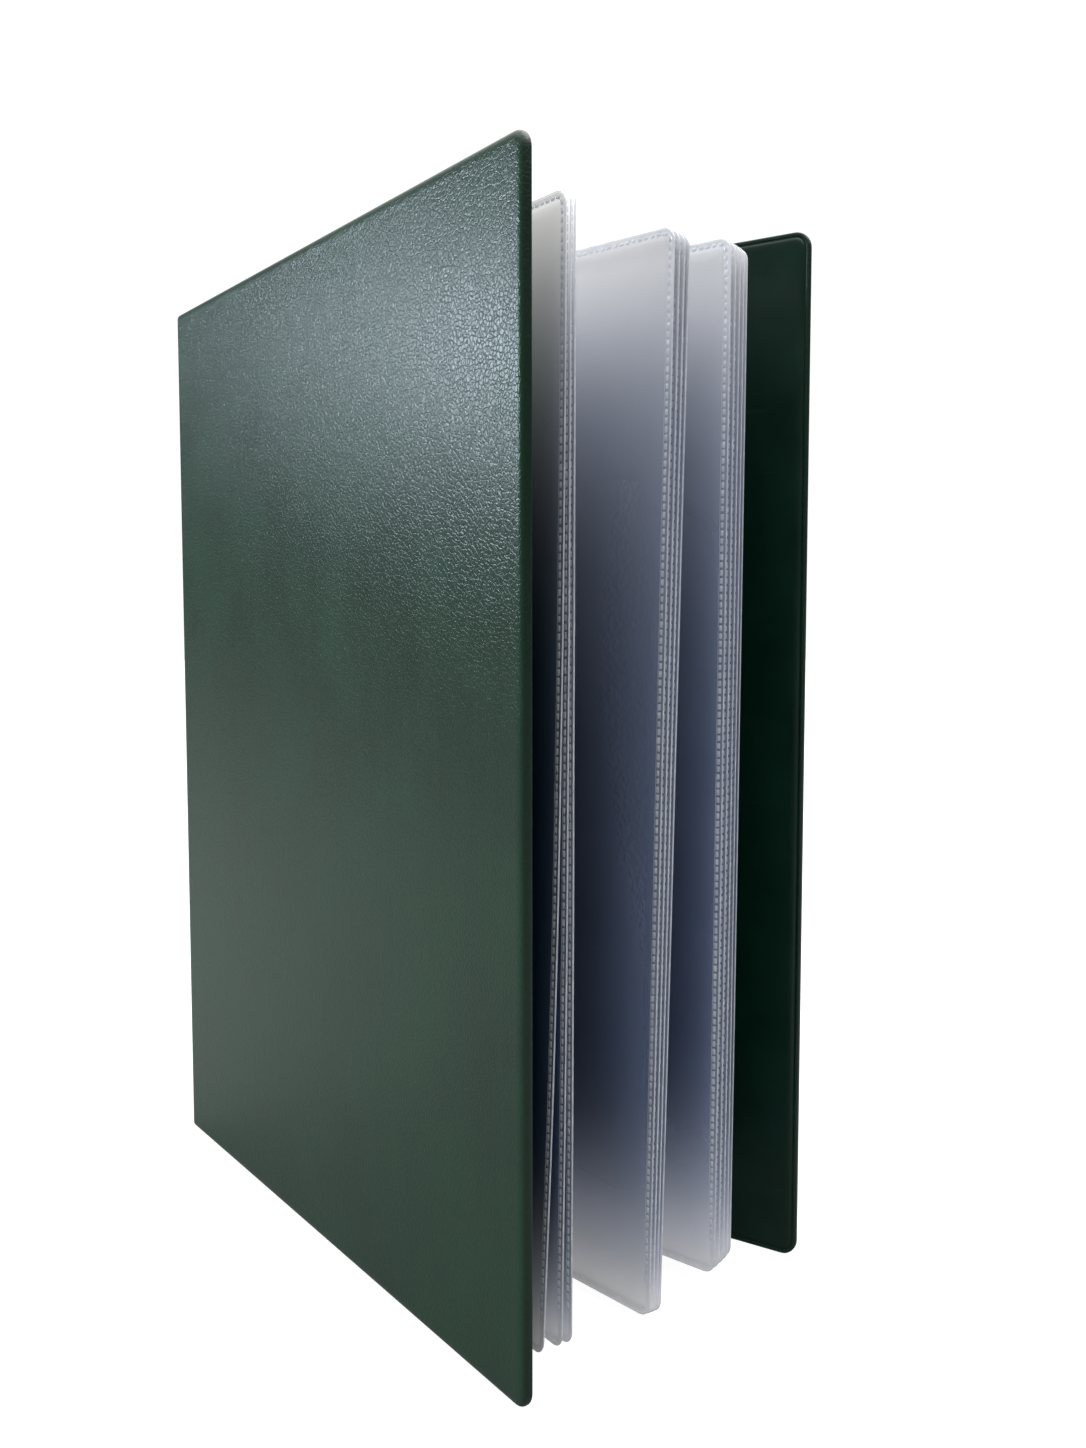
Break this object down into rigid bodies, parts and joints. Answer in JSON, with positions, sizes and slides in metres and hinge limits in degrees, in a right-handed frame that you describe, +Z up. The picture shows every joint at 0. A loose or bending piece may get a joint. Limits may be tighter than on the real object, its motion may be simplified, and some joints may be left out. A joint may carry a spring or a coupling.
{
  "type": "stamp album",
  "caption": "Upright half-open album: vinyl-covered boards on a narrow spine, with clear full-page pocket leaves bound inside.",
  "frame": {"origin": "foot of the spine, at the middle of its width and thickness, on the plane the album stands on", "axes": "+Z up; spine's outside faces +Y; fore-edges point to -Y; front cover on the -X side"},
  "size_m": [0.1208, 0.2388, 0.315],
  "materials": {
    "embossed_vinyl": "fine leather-grain embossing, soft sheen",
    "lining_vinyl": "smooth satin",
    "fold_vinyl": "welded fold, satin",
    "strip_vinyl": "extruded, satin",
    "greyboard": "raw greyboard, sealed inside",
    "clear_vinyl": "clear film, glossy"
  },
  "bodies": {
    "spine": {"spine_outer_skin": "embossed_vinyl", "spine_board": "greyboard", "spine_inner_skin": "lining_vinyl", "front_hinge_web": "fold_vinyl", "back_hinge_web": "fold_vinyl", "binding_strip": "strip_vinyl"},
    "front_cover": {"front_outer_skin": "embossed_vinyl", "front_board": "greyboard", "front_inner_skin": "lining_vinyl"},
    "back_cover": {"back_outer_skin": "embossed_vinyl", "back_board": "greyboard", "back_inner_skin": "lining_vinyl"},
    "leaf_01": {"leaf_01_front_film": "clear_vinyl", "leaf_01_rear_film": "clear_vinyl"},
    "leaf_02": {"leaf_02_front_film": "clear_vinyl", "leaf_02_rear_film": "clear_vinyl"},
    "leaf_03": {"leaf_03_front_film": "clear_vinyl", "leaf_03_rear_film": "clear_vinyl"},
    "leaf_04": {"leaf_04_front_film": "clear_vinyl", "leaf_04_rear_film": "clear_vinyl"},
    "leaf_05": {"leaf_05_front_film": "clear_vinyl", "leaf_05_rear_film": "clear_vinyl"},
    "leaf_06": {"leaf_06_front_film": "clear_vinyl", "leaf_06_rear_film": "clear_vinyl"},
    "leaf_07": {"leaf_07_front_film": "clear_vinyl", "leaf_07_rear_film": "clear_vinyl"},
    "leaf_08": {"leaf_08_front_film": "clear_vinyl", "leaf_08_rear_film": "clear_vinyl"},
    "leaf_09": {"leaf_09_front_film": "clear_vinyl", "leaf_09_rear_film": "clear_vinyl"},
    "leaf_10": {"leaf_10_front_film": "clear_vinyl", "leaf_10_rear_film": "clear_vinyl"},
    "leaf_11": {"leaf_11_front_film": "clear_vinyl", "leaf_11_rear_film": "clear_vinyl"},
    "leaf_12": {"leaf_12_front_film": "clear_vinyl", "leaf_12_rear_film": "clear_vinyl"}
  },
  "joints": [
    {"name": "front_cover_hinge", "type": "hinge", "parent": "spine", "child": "front_cover", "pos_m": [-0.016, 0, 0.1575], "axis": [0, 0, -1], "range_deg": [-10.4, 79.6], "deforming": ["front_hinge_web"]},
    {"name": "back_cover_hinge", "type": "hinge", "parent": "spine", "child": "back_cover", "pos_m": [0.016, 0, 0.1575], "axis": [0, 0, 1], "range_deg": [-10.4, 79.6], "deforming": ["back_hinge_web"]},
    {"name": "leaf_01_fold", "type": "hinge", "parent": "spine", "child": "leaf_01", "pos_m": [-0.0055, -0.00652, 0.1575], "axis": [0, 0, -1], "range_deg": [-8.9, 68.12]},
    {"name": "leaf_02_fold", "type": "hinge", "parent": "spine", "child": "leaf_02", "pos_m": [-0.0045, -0.00727, 0.1575], "axis": [0, 0, -1], "range_deg": [-8.86, 67.81]},
    {"name": "leaf_03_fold", "type": "hinge", "parent": "spine", "child": "leaf_03", "pos_m": [-0.0035, -0.00783, 0.1575], "axis": [0, 0, -1], "range_deg": [-8.82, 67.51]},
    {"name": "leaf_04_fold", "type": "hinge", "parent": "spine", "child": "leaf_04", "pos_m": [-0.0025, -0.00821, 0.1575], "axis": [0, 0, -1], "range_deg": [-0.97, 7.43]},
    {"name": "leaf_05_fold", "type": "hinge", "parent": "spine", "child": "leaf_05", "pos_m": [-0.0015, -0.00846, 0.1575], "axis": [0, 0, -1], "range_deg": [-0.8, 6.12]},
    {"name": "leaf_06_fold", "type": "hinge", "parent": "spine", "child": "leaf_06", "pos_m": [-0.0005, -0.00858, 0.1575], "axis": [0, 0, -1], "range_deg": [-0.63, 4.82]},
    {"name": "leaf_07_fold", "type": "hinge", "parent": "spine", "child": "leaf_07", "pos_m": [0.0005, -0.00858, 0.1575], "axis": [0, 0, -1], "range_deg": [-0.46, 3.52]},
    {"name": "leaf_08_fold", "type": "hinge", "parent": "spine", "child": "leaf_08", "pos_m": [0.0015, -0.00846, 0.1575], "axis": [0, 0, -1], "range_deg": [-39.42, 5.15]},
    {"name": "leaf_09_fold", "type": "hinge", "parent": "spine", "child": "leaf_09", "pos_m": [0.0025, -0.00821, 0.1575], "axis": [0, 0, -1], "range_deg": [-42.86, 5.6]},
    {"name": "leaf_10_fold", "type": "hinge", "parent": "spine", "child": "leaf_10", "pos_m": [0.0035, -0.00783, 0.1575], "axis": [0, 0, -1], "range_deg": [-46.69, 6.1]},
    {"name": "leaf_11_fold", "type": "hinge", "parent": "spine", "child": "leaf_11", "pos_m": [0.0045, -0.00727, 0.1575], "axis": [0, 0, -1], "range_deg": [-50.29, 6.57]},
    {"name": "leaf_12_fold", "type": "hinge", "parent": "spine", "child": "leaf_12", "pos_m": [0.0055, -0.00652, 0.1575], "axis": [0, 0, -1], "range_deg": [-53.81, 7.03]}
  ],
  "couplings": [
    {"joint": "back_cover_hinge", "follows": "front_cover_hinge", "ratio": 1},
    {"joint": "leaf_01_fold", "follows": "front_cover_hinge", "ratio": 0.85577},
    {"joint": "leaf_02_fold", "follows": "front_cover_hinge", "ratio": 0.85192},
    {"joint": "leaf_03_fold", "follows": "front_cover_hinge", "ratio": 0.84808},
    {"joint": "leaf_04_fold", "follows": "front_cover_hinge", "ratio": 0.093269},
    {"joint": "leaf_05_fold", "follows": "front_cover_hinge", "ratio": 0.076923},
    {"joint": "leaf_06_fold", "follows": "front_cover_hinge", "ratio": 0.060577},
    {"joint": "leaf_07_fold", "follows": "front_cover_hinge", "ratio": 0.044231},
    {"joint": "leaf_08_fold", "follows": "front_cover_hinge", "ratio": -0.49519},
    {"joint": "leaf_09_fold", "follows": "front_cover_hinge", "ratio": -0.53846},
    {"joint": "leaf_10_fold", "follows": "front_cover_hinge", "ratio": -0.58654},
    {"joint": "leaf_11_fold", "follows": "front_cover_hinge", "ratio": -0.63173},
    {"joint": "leaf_12_fold", "follows": "front_cover_hinge", "ratio": -0.67596}
  ]
}
